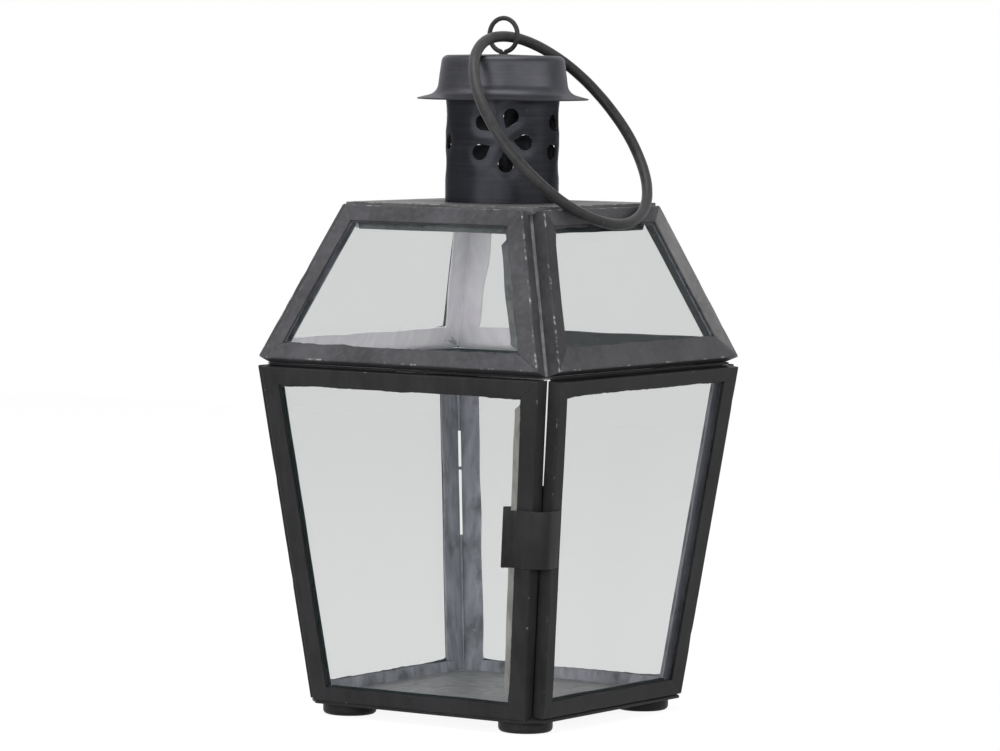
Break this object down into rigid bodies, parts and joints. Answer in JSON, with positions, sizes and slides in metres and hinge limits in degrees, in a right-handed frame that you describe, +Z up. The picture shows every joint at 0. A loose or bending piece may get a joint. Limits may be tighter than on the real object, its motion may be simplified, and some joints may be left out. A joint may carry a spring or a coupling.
{
  "type": "candle lantern",
  "caption": "Black sheet-metal candle lantern: glazed body tapering downwards, hinged door with a clasp, glazed hip roof, vented chimney, spun cap and ring handle.",
  "frame": {"origin": "on the ground plane under the middle of the body", "axes": "+Z up; the front panel faces -Y, the door faces +X and hangs on the corner of +X and +Y"},
  "size_m": [0.1326, 0.1326, 0.2578],
  "materials": {
    "body_frame_paint": "matt black paint on folded sheet, rubbed along the folds",
    "roof_frame_paint": "matt black paint on folded sheet, chipped along the folds",
    "chimney_paint": "thin black paint over brushed sheet",
    "wire_paint": "smooth black paint on drawn wire",
    "base_sheet": "grey sheet, thinly painted",
    "foot_paint": "matt black paint on pressed cups",
    "solder": "solder painted over",
    "pane": "clear sheet glass"
  },
  "bodies": {
    "lantern": {"back_bottom_rail": "body_frame_paint", "back_glass": "pane", "back_left_stile": "body_frame_paint", "back_right_stile": "body_frame_paint", "back_top_rail": "body_frame_paint", "base_plate": "base_sheet", "body_solder": "solder", "cap": "chimney_paint", "chimney": "chimney_paint", "corner_stop": "body_frame_paint", "eaves_frame": "body_frame_paint", "eaves_stop": "body_frame_paint", "foot_back_left": "foot_paint", "foot_back_right": "foot_paint", "foot_front_left": "foot_paint", "foot_front_right": "foot_paint", "front_bottom_rail": "body_frame_paint", "front_glass": "pane", "front_left_stile": "body_frame_paint", "front_right_stile": "body_frame_paint", "front_top_rail": "body_frame_paint", "hanger_eye": "wire_paint", "hinge_frame_knuckle": "body_frame_paint", "hinge_pin": "wire_paint", "left_bottom_rail": "body_frame_paint", "left_glass": "pane", "left_left_stile": "body_frame_paint", "left_right_stile": "body_frame_paint", "left_top_rail": "body_frame_paint", "roof_back_bottom_rail": "roof_frame_paint", "roof_back_glass": "pane", "roof_back_left_stile": "roof_frame_paint", "roof_back_right_stile": "roof_frame_paint", "roof_back_top_rail": "roof_frame_paint", "roof_front_bottom_rail": "roof_frame_paint", "roof_front_glass": "pane", "roof_front_left_stile": "roof_frame_paint", "roof_front_right_stile": "roof_frame_paint", "roof_front_top_rail": "roof_frame_paint", "roof_left_bottom_rail": "roof_frame_paint", "roof_left_glass": "pane", "roof_left_left_stile": "roof_frame_paint", "roof_left_right_stile": "roof_frame_paint", "roof_left_top_rail": "roof_frame_paint", "roof_right_bottom_rail": "roof_frame_paint", "roof_right_glass": "pane", "roof_right_left_stile": "roof_frame_paint", "roof_right_right_stile": "roof_frame_paint", "roof_right_top_rail": "roof_frame_paint", "roof_solder": "solder", "top_plate": "roof_frame_paint"},
    "door": {"door_bottom_rail": "body_frame_paint", "door_free_stile": "body_frame_paint", "door_glass": "pane", "door_hinge_stile": "body_frame_paint", "door_top_rail": "body_frame_paint", "hinge_door_knuckle": "body_frame_paint", "clasp": "body_frame_paint"},
    "handle": {"ring_handle": "wire_paint"}
  },
  "joints": [
    {"name": "door_hinge", "type": "hinge", "parent": "lantern", "child": "door", "pos_m": [0.04887, 0.04887, 0.00902], "axis": [0.1145, 0.1145, 0.9868], "range_deg": [0, 100]},
    {"name": "handle_swing", "type": "hinge", "parent": "lantern", "child": "handle", "pos_m": [0, 0, 0.25022], "axis": [0, 1, 0], "range_deg": [-285.09, 0]}
  ]
}
